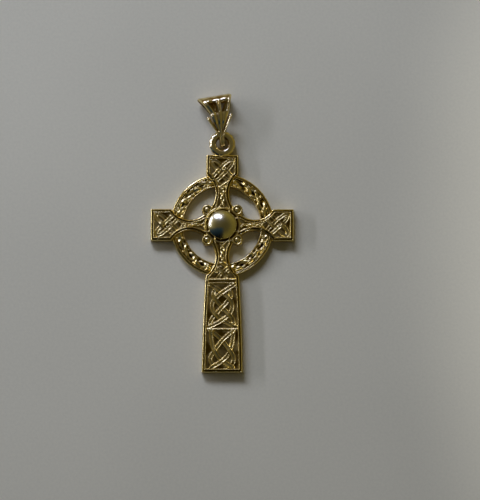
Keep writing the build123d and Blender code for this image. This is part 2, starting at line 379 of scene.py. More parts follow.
def crossings_of(strands):
    """Where strands cross: (strand, how far along it, other strand, how far along that)."""
    found = []
    for a, first in enumerate(strands):
        for b in range(a, len(strands)):
            second = strands[b]
            p, d = first[:-1, None], np.diff(first, axis=0)[:, None]
            q, e = second[None, :-1], np.diff(second, axis=0)[None]
            turn = d[..., 0] * e[..., 1] - d[..., 1] * e[..., 0]
            turn = np.where(abs(turn) < 1e-9, 1e-9, turn)
            gap = q - p
            share = (gap[..., 0] * e[..., 1] - gap[..., 1] * e[..., 0]) / turn
            other = (gap[..., 0] * d[..., 1] - gap[..., 1] * d[..., 0]) / turn
            hits = (share >= 0) & (share < 1) & (other >= 0) & (other < 1)
            if a == b:
                hits &= np.triu(np.ones(hits.shape, bool), 2)
            s, o = along_of(first), along_of(second)
            for i, j in zip(*np.nonzero(hits)):
                here = s[i] + share[i, j] * (s[i + 1] - s[i])
                there = o[j] + other[i, j] * (o[j + 1] - o[j])
                found.append((a, here, b, there))
    return found


def weave(strands):
    """For each strand, where it crosses and whether it goes over (1) or under (-1) there."""
    visits = [[] for _ in strands]
    for number, (a, here, b, there) in enumerate(crossings_of(strands)):
        visits[a].append((here, number))
        visits[b].append((there, number))
    over = {}
    passes = []
    for places in visits:
        sign, mine = 1, []
        for here, number in sorted(places):
            sign = -over[number] if number in over else -sign
            over[number] = sign
            mine.append((here, sign))
        passes.append(mine)
    return passes


def ribbon_section(distance, width):
    """Section of a ribbon with a rib along each edge, from 0 to 1 high."""
    share = np.clip((distance - 0.31 * width) / (0.19 * width), -1, 1)
    rib = 0.5 + 0.5 * np.cos(pi * share)
    return np.maximum(rib, 0.3 * (distance < 0.31 * width))


def cord_section(distance, width):
    """Section of a plain round strand, from 0 to 1 high."""
    return np.sqrt(np.clip(1 - (2 * distance / width) ** 2, 0, 1))


def relief_of(strands, t, r, width, height, lift, section):
    """Height of woven strands over their ground, at points across and along an arm."""
    total = np.zeros(t.shape)
    for strand, passes in zip(strands, weave(strands)):
        s = along_of(strand)
        low, high = strand.min(axis=0) - width, strand.max(axis=0) + width
        near = (t > low[0]) & (t < high[0]) & (r > low[1]) & (r < high[1])
        points = np.stack([t[near], r[near]], axis=-1)
        best = np.full(len(points), 1e9)
        where = np.zeros(len(points))
        for i, (start, end) in enumerate(zip(strand, strand[1:])):
            run = end - start
            share = np.clip((points - start) @ run / (run @ run), 0, 1)
            gap = np.linalg.norm(points - start - share[:, None] * run, axis=1)
            closer = gap < best
            best[closer] = gap[closer]
            where[closer] = s[i] + share[closer] * (s[i + 1] - s[i])
        bow = sum((sign * swell(where - here, 0.6 * width) for here, sign in passes), 0 * where)
        shape = section(best, width)
        top = height * shape + lift * bow * smooth_step(shape, 0, 0.4)
        total[near] = np.maximum(total[near], np.where(best < width / 2, top, 0))
    return total


# The cross


def arms_of(s):
    """The four arms, each turned from straight up."""
    side = s.arm_span / 2
    return [
        Arm("cross_head", 0, s.head_reach, s.arm_half, s.arm_half, s.neck_half_upright),
        Arm("cross_arm_left", 90, side, s.arm_half, s.arm_half, s.neck_half_side),
        Arm("cross_arm_right", -90, side, s.arm_half, s.arm_half, s.neck_half_side),
        Arm("cross_shaft", 180, s.foot_reach, s.shaft_top_half, s.foot_half, s.neck_half_upright),
    ]


def circle_through(a, b, c):
    """Middle and radius of the circle through three points."""
    (ax, ay), (bx, by), (cx, cy) = a, b, c
    d = 2 * (ax * (by - cy) + bx * (cy - ay) + cx * (ay - by))
    x = ((ax**2 + ay**2) * (by - cy) + (bx**2 + by**2) * (cy - ay) + (cx**2 + cy**2) * (ay - by)) / d
    y = ((ax**2 + ay**2) * (cx - bx) + (bx**2 + by**2) * (ax - cx) + (cx**2 + cy**2) * (bx - ax)) / d
    return x, y, sqrt((ax - x) ** 2 + (ay - y) ** 2)


def half_width(s, arm, r, inset):
    """Half the width of an arm at a reach, an inset inside its back outline."""
    share = np.clip((r - s.shoulder_reach) / (arm.reach - s.shoulder_reach), 0, 1)
    bow = 4 * s.shaft_bow * share * (1 - share) if arm.end_half > arm.shoulder_half else 0
    box = arm.shoulder_half + share * (arm.end_half - arm.shoulder_half) + bow - inset
    shoulder, neck = (arm.shoulder_half, s.shoulder_reach), (arm.neck_half, s.neck_reach)
    x, y, radius = circle_through(shoulder, neck, (s.crotch_half, s.crotch_reach))
    grown = radius + inset
    off = np.clip(np.maximum(r, s.crotch_reach) - y, -grown, grown)
    flare = x - np.sqrt(grown**2 - off**2)
    flare = np.where((r > y) & (r - y > grown), 1e3, flare)
    return np.minimum(box, flare)


def edge_height(s, inset):
    """Height of the casting's edge: its wall, lip, groove and bead, by the inset from the back."""
    wall = inset / s.wall_draft * s.lip_base
    lip = bevelled(inset - s.wall_draft, s.lip_width, s.lip_base, s.lip_height)
    bead = rounded(inset - s.bead_middle, s.bead_width, s.groove_floor, s.thickness)
    floor = np.where(inset > s.bead_middle, s.ground, s.groove_floor)
    return np.where(inset < s.wall_draft, wall, np.maximum(np.maximum(lip, bead), floor))


def woven(s, t, r, chart, start, end, half, width, section):
    """Height of a chart's strands, laid between two reaches along an arm.

    Reaches that are swapped, or a negative half width, turn the chart round.
    """
    strands = strands_of(chart, (start + end) / 2, half, (end - start) / 2)
    return relief_of(strands, t, r, width, s.ribbon_height, s.ribbon_lift, section)


def shaft_relief(s, arm, t, r, inset):
    """Height of the shaft's two panels of interlace and of its bars, over the ground."""
    upper_top, lower_top = s.shaft_bar + s.bar_width, s.shaft_divider + s.bar_width
    upper_gap, overrun = 0.5, 0.05
    total = 0 * t
    for chart, start, end in (
        (UPPER_CHART, upper_top + upper_gap, s.shaft_divider),
        (LOWER_CHART, lower_top, s.foot_reach - inset),
    ):
        half = half_width(s, arm, np.array((start + end) / 2), inset)
        # The charts show the panels as they hang, while r runs down the shaft and t to its left
        ribbons = woven(s, t, r, chart, end, start, -half, s.ribbon_width, ribbon_section)
        total = np.maximum(total, ribbons * ((r > start - overrun) & (r < end + overrun)))
    # Two bars across the shaft, and a thin line that frames the upper panel under its bar
    full, line_gap, line_width = s.thickness - s.ground, 0.34, 0.24
    for start, width, high in (
        (s.shaft_bar, s.bar_width, full),
        (s.shaft_divider, s.bar_width, full),
        (upper_top + line_gap, line_width, 0.8 * full),
    ):
        total = np.maximum(total, bevelled(r - start, width, 0, high))
    return total


def arm_relief(s, boss, arm, t, r):
    """Height of the bars and the interlace over the panel's ground, on one arm."""
    inset = s.bead_middle + s.bead_width / 2
    flare_gap, knot_gap, cord_overhang = 1.1, 0.5, 0.12
    flare = s.neck_reach + flare_gap
    cord, ribbon = (s.neck_cord, cord_section), (s.arm_ribbon_width, ribbon_section)
    # Each chart with its start, end and half width, and with its strands' width and section
    layers = [(NECK_CHART, boss.collar_radius, flare, arm.neck_half - inset + cord_overhang, *cord)]
    if arm.name == "cross_shaft":
        layers.append((FLARE_CHART, flare, s.shaft_bar, inset - arm.shoulder_half, *ribbon))
        total = shaft_relief(s, arm, t, r, inset)
    else:
        field = (flare + knot_gap, arm.reach - inset, arm.end_half - inset)
        layers += [(FAN_CHART, *field, *cord), (KNOT_CHART, *field, *ribbon)]
        total = 0 * t
    for layer in layers:
        total = np.maximum(total, woven(s, t, r, *layer))
    return total


def arm_mesh(sizes, arm, material):
    """One arm of the casting: a grid laid over its walls, beads, panels and interlace."""
    s, boss = sizes.cross, sizes.boss
    pitch, edge_pitch, under_collar = 0.055, 0.03, 1.0
    edge_end = s.bead_middle + s.bead_width / 2 + 0.05
    # The columns follow the edge down both sides, and the rows follow it at the arm's end
    wall = np.linspace(0, s.wall_draft, 4)
    lip = np.arange(s.wall_draft + 0.02, edge_end, edge_pitch)
    edge = np.concatenate([wall, [s.wall_draft + 0.006], lip])
    inner_count = ceil((arm.end_half - edge_end) * 2 / pitch)
    shares = np.linspace(1, -1, inner_count + 2)[1:-1]
    start = boss.collar_radius - under_collar
    rows = np.concatenate([np.arange(start, arm.reach - edge_end, pitch), arm.reach - edge[::-1]])
    row_inset = np.maximum(arm.reach - rows, 0)[:, None]
    left = half_width(s, arm, rows[:, None], edge[None, :])
    inner = half_width(s, arm, rows[:, None], edge_end) * shares[None, :]
    t, r = np.broadcast_arrays(np.concatenate([left, inner, -left[:, ::-1]], axis=1), rows[:, None])
    side_inset = np.concatenate([edge, np.full(inner_count, edge_end), edge[::-1]])
    inset = np.minimum(side_inset, row_inset)
    wobble = 0.02 * uneven(t, r, 1.6, 3) * smooth_step(inset, s.wall_draft, s.bead_middle)
    z = edge_height(s, inset + wobble)
    relief = arm_relief(s, boss, arm, t, r) * smooth_step(side_inset, s.bead_middle, edge_end)
    relief *= smooth_step(row_inset, s.bead_middle, edge_end + 0.1)
    z = np.where(inset > s.bead_middle, np.maximum(z, s.ground + relief), z)
    cast = 0.0015 * uneven(t, r, 0.4, 5) + 0.015 * uneven(t, r, 1.3, 7)
    z = np.minimum(z + cast * smooth_step(z, 0.6, 1.6), s.thickness)
    angle = radians(arm.turn)
    points = np.stack([t * cos(angle) - r * sin(angle), t * sin(angle) + r * cos(angle), z], axis=-1)
    # The relief follows the height, so the low ground gets the recess colour: grime and painted shade
    height = smooth_step(z, s.ground - 0.13, s.thickness - 0.05)
    height = np.where(inset < s.wall_draft + 0.9 * s.lip_width, RUBBED_BRIGHT, height)
    count, columns = t.shape
    # The back is closed by a quad under each row, and both ends by one face each
    faces = grid_faces(count, columns)
    for j in range(count - 2):
        faces.append([j * columns, (j + 1) * columns, (j + 2) * columns - 1, (j + 1) * columns - 1])
    last = (count - 1) * columns
    faces.append([last - columns, *range(last, last + columns), last - 1])
    faces.append(list(range(columns))[::-1])
    # The grid runs from +t to -t, so its quads face up only when wound this way
    faces = [face[::-1] for face in faces]
    return place(arm.name, points.reshape(-1, 3), faces, height, "cross", material, "cross")


# The ring


def ring_height(s, gap_out, gap_in):
    """Height of the ring's section, by its distance from the outer and the inner edge."""
    wall = np.minimum(gap_out, gap_in) / s.wall_draft * s.lip_base
    lip = bevelled(gap_out - s.wall_draft, s.lip_width, s.lip_base, s.lip_height)
    outer_bead = rounded(gap_out - s.outer_bead, s.bead_width, s.groove_floor, s.thickness)
    inner_width = 2 * (s.inner_bead - s.wall_draft)
    inner_bead = rounded(gap_in - s.inner_bead, inner_width, s.lip_base, s.thickness)
    floor = np.where(gap_out < s.outer_bead, s.groove_floor, s.ground)
    floor = np.where(gap_in < s.inner_bead, s.lip_base, floor)
    top = np.maximum(np.maximum(lip, outer_bead), np.maximum(inner_bead, floor))
    return np.where(np.minimum(gap_out, gap_in) < s.wall_draft, wall, top)


def ring_mesh(s, material):
    """The ring: one section swept round, with two strands twisted along its channel."""
    turns, steps = round(s.twist_turns), 720
    edge = np.concatenate([np.linspace(0, s.wall_draft, 4), [s.wall_draft + 0.006]])
    between = np.linspace(s.inner + edge[-1], s.outer - edge[-1], 62)[1:-1]
    radii = np.concatenate([s.inner + edge, between, s.outer - edge[::-1]])
    angles = np.linspace(0, 2 * pi, steps, endpoint=False)[:, None]
    angles, radius = np.broadcast_arrays(angles, radii[None, :])
    x, y = radius * np.cos(angles), radius * np.sin(angles)
    gap_out = s.outer - radius
    worn = 0.015 * uneven(x, y, 1.2, 11) * smooth_step(gap_out, s.wall_draft, s.outer_bead)
    z = ring_height(s, gap_out + worn, radius - s.inner)
    middle = (s.outer - s.outer_bead + s.inner + s.inner_bead) / 2
    phase = angles * turns
    channel = (radius < s.outer - s.outer_bead) & (radius > s.inner + s.inner_bead)
    swing = s.twist_swing * np.sin(phase)
    slope = s.twist_swing * turns / middle * np.cos(phase)
    for side in (1, -1):
        gap = abs(radius - middle - side * swing) / np.sqrt(1 + slope**2)
        strand = s.twist_height * cord_section(gap, s.twist_width) * (0.8 + 0.45 * uneven(x, y, 0.8, 23))
        strand = strand + side * s.twist_lift * np.cos(phase) * (gap < s.twist_width / 2)
        z = np.where(channel, np.maximum(z, s.ground + strand), z)
    # A small pit lies in each eye of the twist, a nub on both sides of each crossing, and the
    # casting's lumps over all of it
    pit_depth, pit_width, nub_height, nub_width, nub_place = 0.32, 0.15, 0.26, 0.16, 0.48
    pit = swell(radius - middle, pit_width) * smooth_step(abs(np.sin(phase)), 0.82, 1)
    nub = swell(abs(radius - middle) - nub_place, nub_width) * smooth_step(abs(np.cos(phase)), 0.8, 1)
    lumps = 0.17 * uneven(x, y, 0.52, 19)
    z = np.where(channel, np.maximum(z, s.ground + nub_height * nub) - pit_depth * pit + lumps, z)
    z = z + (0.0015 * uneven(x, y, 0.4, 13) + 0.015 * uneven(x, y, 1.2, 17)) * smooth_step(z, 0.5, 1.2)
    z = np.minimum(z, s.thickness)
    points = np.stack([x, y, z], axis=-1)
    lip = gap_out < s.wall_draft + 0.9 * s.lip_width
    wall = radius < s.inner + s.wall_draft
    # Away from the lip and the inner wall the relief follows the height, so the channel gets the recess
    # colour: grime and painted shade
    height = np.where(lip | wall, RUBBED_BRIGHT, smooth_step(z, s.groove_floor, s.thickness - 0.1))
    faces = grid_faces(steps, len(radii), wrap_rows=True, wrap_columns=True)
    return place("halo_ring", points.reshape(-1, 3), faces, height, "cross", material, "cross")


# Turned forms


def turned(name, section, middle, steps, relief, material):
    """A form turned about an upright axis, from its section of (radius, height) points."""
    section = np.array(section)
    angles = np.linspace(0, 2 * pi, steps, endpoint=False)[:, None]
    x = middle[0] + section[None, :, 0] * np.cos(angles)
    y = middle[1] + section[None, :, 0] * np.sin(angles)
    z = section[None, :, 1] + 0 * angles
    points = np.stack([x, y, z], axis=-1).reshape(-1, 3)
    faces = grid_faces(steps, len(section), wrap_rows=True)
    columns = len(section)
    for column, order in ((0, 1), (columns - 1, -1)):
        ring = [j * columns + column for j in range(steps)]
        faces.append(ring[::order])
    height = np.tile(relief, (steps, 1))
    return place(name, points, faces, height, "cross", material, "cross")


def arc(centre, radius, start, end, count):
    """Points along an arc, from one angle in degrees to another."""
    angles = np.radians(np.linspace(start, end, count))
    return [(centre[0] + radius * np.cos(a), centre[1] + radius * np.sin(a)) for a in angles]


def collar_mesh(s, material):
    """The collar round the boss, with a rounded rim and the crevice inside it."""
    rim = s.collar_rim
    top = (s.collar_radius - rim, s.collar_height - rim)
    floor = s.dome_seat - s.seat_depth - 0.05
    section = [(s.collar_radius, 0.0), (s.collar_radius, s.collar_height * 0.5)]
    section += arc(top, rim, 0, 130, 13)
    section += [(s.radius + s.seat_gap, floor + 0.04), (s.radius + s.seat_gap - 0.06, floor), (0.5, floor)]
    # Below its rim the collar and its crevice get the recess colour: grime and painted shade in the crevice
    relief = [0.65 if z > top[1] - 0.02 else 0.05 for _, z in section]
    return turned("boss_collar", section, (0, 0), 128, relief, material)


def boss_mesh(s, material):
    """The domed boss: a wide polished cap with a rounded edge, seated in its collar."""
    peak = s.dome_seat + s.rise
    centre = (0, peak - s.dome_curve)
    side = s.radius - s.dome_edge
    edge = (side, centre[1] + sqrt((s.dome_curve - s.dome_edge) ** 2 - side**2))
    turn = degrees(atan2(edge[1] - centre[1], side))
    section = [(s.radius - 0.03, s.dome_seat - s.seat_depth - 0.1), (s.radius, s.dome_seat - 0.05)]
    section += arc(edge, s.dome_edge, 0, turn, 14)
    section += arc(centre, s.dome_curve, turn, 89.6, 48)[1:]
    relief = [1.0] * len(section)
    return turned("boss", section, (0, 0), 160, relief, material)


def roundel_mesh(s, name, middle, material):
    """A roundel: a rounded rim, a groove and a small button."""
    rim = (s.roundel_radius - s.roundel_groove) / 2
    top = (s.roundel_radius - rim, s.roundel_height - rim)
    floor, button, button_rise = s.roundel_height - 0.28, s.roundel_groove - 0.1, 0.2
    section = [(s.roundel_radius, 0.0), (s.roundel_radius, s.roundel_height * 0.5)]
    section += [*arc(top, rim, 0, 170, 11), (s.roundel_groove - 0.02, floor)]
    section += [(button * cos(a), floor + button_rise * sin(a)) for a in np.linspace(0.1, 1.55, 8)]
    low, high = s.roundel_height - 0.3, s.roundel_height - 0.08
    # The relief follows the height, so the groove inside the rim gets the recess colour: grime and painted
    # shade
    relief = [smooth_step(z, low, high) if z > 1 else 0.5 for _, z in section]
    return turned(name, section, middle, 48, relief, material)


def loop_mesh(sizes, material):
    """The loop on the head, a ring of round wire, a little flattened by polishing."""
    s = sizes.boss
    wire, path = (s.loop_outer - s.loop_hole) / 2, (s.loop_outer + s.loop_hole) / 2
    middle_y = sizes.cross.head_reach + s.loop_outer - s.loop_sink
    # Out and up, as shares of the wire's radius: the top is filed flat, with a bevel on both sides
    half = [(1.0, 0.0), (1.0, 0.55), (0.93, 0.66), (0.45, 0.97), (0.3, 1.0), (-0.4, 1.0), (-0.6, 0.95)]
    half += [(-0.95, 0.6), (-1.0, 0.4), (-1.0, 0.0)]
    section = round_off(half + [(out, -up) for out, up in half[::-1]], 2)
    # Both halves end on the same points, and each is kept once
    section = section[np.linalg.norm(section - np.roll(section, -1, axis=0), axis=1) > 1e-6]
    steps = 144
    turn = np.linspace(0, 2 * pi, steps, endpoint=False)[:, None]
    out, up = section[None, :, 0], section[None, :, 1]
    # The bevel was filed in short strokes, which leave a slightly scalloped edge
    strokes = 0.05 * (1 + np.cos(14 * turn)) * smooth_step(out, 0.3, 0.9)
    radius = path + wire * (out - strokes)
    x, y = radius * np.cos(turn), middle_y + radius * np.sin(turn)
    z = s.loop_middle + wire * up + 0 * turn
    points = np.stack([x, y, z], axis=-1).reshape(-1, 3)
    faces = grid_faces(steps, len(section), wrap_rows=True, wrap_columns=True)
    # The side round the hole gets more of the recess colour: grime and painted shade in the hole
    inside = smooth_step(out + 0 * turn, -1.0, 0.1) * 0.6 + 0.4
    return place("loop", points, faces, inside, "cross", material, "cross")


# The bail


# Heights over the bail's lowest point, each table's last entry being for its fold: how far the front
# leaf is bent, and how wide the two leaves are, as shares of the sway and of the fan
LEAF_HEIGHTS = (0, 2.2, 3.6, 6.3)
SWAY_SHARES = (0.15, 0.3, 0.45, 1.0, 0.26)
SPREAD_HEIGHTS = (0, 2.2, 3.7, 5.4, 6.3)
FRONT_SPREAD = (1, 1.1, 1.2, 1.05, 1, 1)
BACK_SPREAD = (1, 1, 0.9, 0.68, 0.7, 1)
# Columns of the strip from its left edge: left bar, left window, rib, right window and right bar
STRIP_CELLS = (9, 6, 7, 6, 9)
PETAL_STEPS = 17
BLADE_SIDES = 16
# The right petal's tip stands out less than the left one's, by this share
RIGHT_PETAL = 0.9


def bail_points(sizes, u, v, z):
    """Points of the bail in the pendant's frame, from across its leaf, along it and straight up."""
    boss = sizes.boss
    across = np.array([cos(BAIL_LEAN), sin(BAIL_LEAN), 0])
    along = np.array([-sin(BAIL_LEAN), cos(BAIL_LEAN), 0])
    origin = np.array([0, sizes.cross.head_reach + boss.loop_outer - boss.loop_sink, 0])
    return origin + u[..., None] * across + v[..., None] * along + z[..., None] * np.array([0, 0, 1.0])


def leaf_ends(s):
    """How far along the bail its straight leaves start and end: at the turn and at the fold."""
    return s.bottom + s.turn_outer, s.bottom + s.total - s.fold_radius


def front_face(s, along):
    """Height of the front leaf's outer face, which curves down where it turns round the loop's wire."""
    turn_at, fold_at = leaf_ends(s)
    share = np.clip((along - turn_at) / (fold_at - turn_at), 0, 0.98)
    below = np.clip(turn_at - along, 0, 0.9 * s.turn_outer)
    turn = s.turn_outer - np.sqrt(s.turn_outer**2 - below**2)
    return 2 * s.turn_outer + share * 2 * (s.fold_radius - s.turn_outer) - turn


def fan_half(s, up):
    """Half width of the fan at a height over the bail's lowest point."""
    widths = [s.tip_width, s.tip_width, s.root_width, s.waist_width, s.fan_width]
    return np.interp(up, [*LEAF_HEIGHTS, s.total], widths) / 2


def sway_at(s, up):
    """How far the front leaf is bent to the right, at a height over the bail's lowest point."""
    return s.sway * np.interp(up, [*LEAF_HEIGHTS, s.total], SWAY_SHARES)


def bail_path(s, margin):
    """The bail's strip in side view: (along, up) points a margin inside its outer face."""
    turn_at, fold_at = leaf_ends(s)
    high, low = 2 * s.fold_radius - margin, 2 * s.turn_outer - margin
    back = [(v, margin) for v in np.linspace(turn_at, fold_at, 49)[:-1]]
    over = arc((fold_at, s.fold_radius), s.fold_radius - margin, -90, 90, 37)[:-1]
    shares = np.linspace(0, 1, 73)[:-1]
    front = [(fold_at + k * (turn_at - fold_at), high + k * (low - high)) for k in shares]
    under = arc((turn_at, s.turn_outer), s.turn_outer - margin, 90, 270, 25)[:-1]
    return np.array(back + over + front + under)


def leaf_grid(s):
    """The strip's grid: a row for each step round the strip, and columns that follow its bars."""
    outer, inner = bail_path(s, 0.0), bail_path(s, s.sheet)
    g = SimpleNamespace(outer=outer, inner=inner, outward=(outer - inner) / s.sheet)
    g.up = outer[:, :1] - s.bottom
    g.to_fold = s.total - g.up
    g.window_end = s.total - s.window_head
    g.window_start = g.window_end - s.window_length
    # The front leaf is bent to the right and spread between the petals, the back one is narrower
    behind = smooth_step(-g.outward[:, 1:], -0.5, 0.5)
    g.front = 1 - behind
    heights = [*SPREAD_HEIGHTS, s.total]
    spread = np.interp(g.up, heights, FRONT_SPREAD) * g.front
    spread = spread + np.interp(g.up, heights, BACK_SPREAD) * behind
    g.half = fan_half(s, g.up) * spread
    g.rib = np.minimum(s.rib_width / 2, g.half * 0.4)
    g.middle = 0.45 * smooth_step(g.up, 5, 8.5) * g.front * smooth_step(g.to_fold, 0, 1.2)
    g.side = np.maximum(g.half - s.edge_bar, g.rib + 0.02)
    # Both leaves' left bars are broad
    broad = s.broad_bar + (s.back_bar - s.broad_bar) * behind - s.edge_bar
    left = g.side - broad * smooth_step(g.half, s.root_width / 2, s.waist_width / 2)
    g.left = np.maximum(left, g.rib - g.middle + 0.02)
    marks = [-g.half, -g.left, g.middle - g.rib, g.middle + g.rib, g.side, g.half]
    spans = zip(marks, marks[1:], STRIP_CELLS)
    g.u = np.concatenate([a + (b - a) * np.arange(n) / n for a, b, n in spans] + [g.half], axis=1)
    g.bar = np.where(g.u < 0, g.left, g.side)
    g.off = abs(g.u - g.middle)
    # A window's lower end is left sharp, so its rounding there is far narrower
    ends = np.maximum(30 * (g.window_start - g.up), g.up - g.window_end)
    g.window_gap = np.maximum(np.maximum(abs(g.u) - g.bar, g.rib - g.off), ends)
    return g


def leaf_relief(s, g):
    """How far the strip's outer face rises, how far its edges round inwards, and how clean it is, low
    values painting grime and shade.
    """
    u, up, half, front = g.u, g.up, g.half, g.front
    below_window = g.window_start - up
    depth, round_edge = np.maximum(np.minimum(half - abs(u), g.window_gap), 0), 0.17
    turned_in = round_edge * (1 - np.sqrt(1 - np.clip(1 - depth / round_edge, 0, 1) ** 2))
    right_bar = rounded(u - (half + g.bar) / 2, half - g.bar, 0, 0.1)
    left_bar = 0.15 * np.clip((-u - g.left) / (half - g.left), 0, 1)
    bars = right_bar + left_bar + rounded(g.off, 2 * g.rib, 0, s.rib_rise)
    # Under the windows the leaf slopes to the right, with veins and the casting's lumps on it
    ridge = 0.12 * (1 - u / half) * smooth_step(below_window, -0.1, 0.6)
    veins = 0.07 * (1 + np.cos(3 * pi * u / half))
    veins = veins + 0.025 * uneven(u, up, 0.45, 29) * smooth_step(below_window, -0.1, 0.3)
    rise = np.maximum(bars * smooth_step(up, g.window_start - 0.6, g.window_start), ridge + veins)
    # A groove runs under the fold, and another one down the left bar
    furrow = swell(g.to_fold - 0.66, 0.17) * smooth_step(half - abs(u), 0.15, 0.4)
    furrow = np.maximum(furrow, 0.6 * swell(u + half - 0.36, 0.08) * smooth_step(up, 5.6, 6.2)) * front
    rise = rise * smooth_step(g.to_fold, 0.05, 0.8) - 0.08 * furrow
    # Two pads, one over each window, are filed flat across the fold's curve and lean to the left
    pad_place, pad_half, pad_length = 1.35, 0.5, 0.5
    over_window = up - g.window_end
    flat = 0.12 + (over_window - 0.13) ** 2 / (2 * s.fold_radius) + 0.13 * (u - pad_place * np.sign(u))
    pads = flat * smooth_step(over_window, 0.02, 0.08) * smooth_step(pad_length - over_window, 0, 0.06)
    pads = pads * smooth_step(pad_half - abs(abs(u) - pad_place), 0, 0.1) * front
    rise = np.maximum(rise, pads)
    # The root stays flatter, because it meets the loop when the bail swings forwards
    rise = rise * (1 - 0.6 * smooth_step(4.6 - up, 0, 0.6))
    # The right bar is filed in short steps that slope down towards the fold
    step_height, step_length = 0.24, 0.75
    steps = step_height * (1 - (up / step_length) % 1) * smooth_step(u - g.side, 0, 0.12)
    steps = steps * smooth_step(up, 6.4, 6.7) * smooth_step(g.to_fold, 0.3, 0.6)
    rise = np.maximum(rise, steps * front)
    # A groove parts each petal from the leaf
    petal = (up - s.petal_start) / s.petal_length * s.petal_spread
    groove = swell(abs(u) - petal + 0.34, 0.09) * smooth_step(up, 2.6, 3.0)
    groove = groove * smooth_step(5.6 - up, 0, 0.4) * front
    rise = rise - 0.2 * groove
    # Grime and painted shade lie in the grooves, between the veins, over the front leaf under the windows
    # and over the windows, but not on the pads
    clean_unshaded = 0.35 + 0.6 * smooth_step(rise - turned_in, -0.1, 0.08)
    vein_grime_and_shade = smooth_step(below_window, 0, 0.4) * (1 - veins / 0.14)
    clean_unshaded = clean_unshaded - 0.15 * smooth_step(below_window, 0, 0.3) * front - 0.3 * vein_grime_and_shade - 0.5 * groove
    clean_unshaded = clean_unshaded - (0.7 * furrow + 0.2 * smooth_step(over_window, -0.1, 0.1)) * (pads < 0.02)
    # The fan's outer edges are rubbed bright, but not at the root
    rubbed = smooth_step(abs(u) - half, -0.14, -0.06) * smooth_step(abs(up - 4.0), 1.2, 1.6)
    return rise, turned_in, clean_unshaded + rubbed * (FAN_EDGE - clean_unshaded)


def strip_faces(g):
    """The strip's faces: both sides of each cell outside the windows, and a wall at every border."""
    count, width = g.u.shape
    layer = count * width
    first, second = STRIP_CELLS[0], STRIP_CELLS[0] + STRIP_CELLS[1]
    # Which rows cross the windows, read two cells inside the left one
    in_window = (g.window_gap[:, first + 2] < 0).tolist()
    open_columns = {*range(first, second), *range(width - 1 - second, width - 1 - first)}

    def solid(j, i):
        opened = i in open_columns and in_window[j % count] and in_window[(j + 1) % count]
        return 0 <= i < width - 1 and not opened

    faces = []
    for j in range(count):
        k = (j + 1) % count
        for i in range(width - 1):
            if not solid(j, i):
                continue
            a, b, c, d = j * width + i, j * width + i + 1, k * width + i + 1, k * width + i
            faces += [[a, b, c, d], [d + layer, c + layer, b + layer, a + layer]]
            borders = ((i - 1, j, a, d), (i + 1, j, c, b), (i, j - 1, b, a), (i, j + 1, d, c))
            faces += [[p, q, q + layer, p + layer] for m, n, p, q in borders if not solid(n, m)]
    return faces


def strip_mesh(sizes, material):
    """The bail's folded strip: round bars frame its two windows, and its lower leaf has a ridge."""
    s = sizes.bail
    g = leaf_grid(s)
    rise, turned_in, clean_unshaded = leaf_relief(s, g)
    bent = 0.85 * sway_at(s, g.up) * g.front
    # The fold's right corner is rounded off
    bent = bent - 0.3 * smooth_step(g.u, 0.7 * g.half, g.half) * smooth_step(g.up, s.total - 0.4, s.total)
    points = []
    for path, lift in ((g.outer, rise - turned_in), (g.inner, 0.6 * turned_in)):
        along = path[:, :1] + g.outward[:, :1] * lift
        high = path[:, 1:] + g.outward[:, 1:] * lift
        points.append(bail_points(sizes, g.u + bent, along, np.clip(high, 0, s.crown)).reshape(-1, 3))
    # The inner side is out of reach of the polishing wheel, and its darker colour is painted shade between
    # the two leaves
    relief = np.concatenate([clean_unshaded.ravel(), np.full(clean_unshaded.size, 0.2)])
    strip = place("bail_strip", np.concatenate(points), strip_faces(g), relief, "bail", material, "bail")
    # The cut edges of the windows stay crisp
    strip.data.set_sharp_from_angle(angle=radians(55))
    return strip


def blade(sizes, name, path, widths, rise, slope, material):
    """A raised blade on the bail's front leaf, along (across, along) points, with a ridged back."""
    s = sizes.bail
    path = np.array(path)
    direction = np.gradient(path, axis=0)
    direction /= np.linalg.norm(direction, axis=1)[:, None]
    normal = np.stack([direction[:, 1], -direction[:, 0]], axis=1)
    angle = np.linspace(0, 2 * pi, BLADE_SIDES, endpoint=False)[None, :]
    half = np.asarray(widths)[:, None] / 2
    across = path[:, :1] + sway_at(s, path[:, 1:] - s.bottom) + normal[:, :1] * half * np.cos(angle)
    along = path[:, 1:] + normal[:, 1:] * half * np.cos(angle)
    seat = front_face(s, along) - s.sheet / 2
    # The blade is highest along its outer side, and slopes down to the leaf on its inner side
    crest = np.sin(angle) * (1 + slope * np.cos(angle))
    z = np.where(np.sin(angle) < 0, seat + 0.15 * np.sin(angle), seat + (rise + s.sheet / 2) * crest)
    points = bail_points(sizes, across, along, z).reshape(-1, 3)
    faces = grid_faces(len(path), BLADE_SIDES, wrap_columns=True)
    last = (len(path) - 1) * BLADE_SIDES
    faces += [list(range(BLADE_SIDES))[::-1], list(range(last, last + BLADE_SIDES))]
    # The blade's lower side, against the leaf, gets more of the recess colour: grime and painted shade
    # under the blade
    relief = np.tile(0.55 + 0.45 * np.sin(angle), (len(path), 1))
    return place(name, points, faces, relief, "bail", material, "bail")


def petal_path(s, side):
    """A petal's middle line, from the root of the leaf out to its tip."""
    shares = np.linspace(0, 1, PETAL_STEPS)
    out = shares * s.petal_spread + 4 * s.petal_bow * shares * (1 - shares)
    reach, width = (s.petal_length - s.petal_drop, RIGHT_PETAL) if side > 0 else (s.petal_length, 1)
    return [(side * u * width, s.bottom + s.petal_start + k * reach) for u, k in zip(out, shares)]


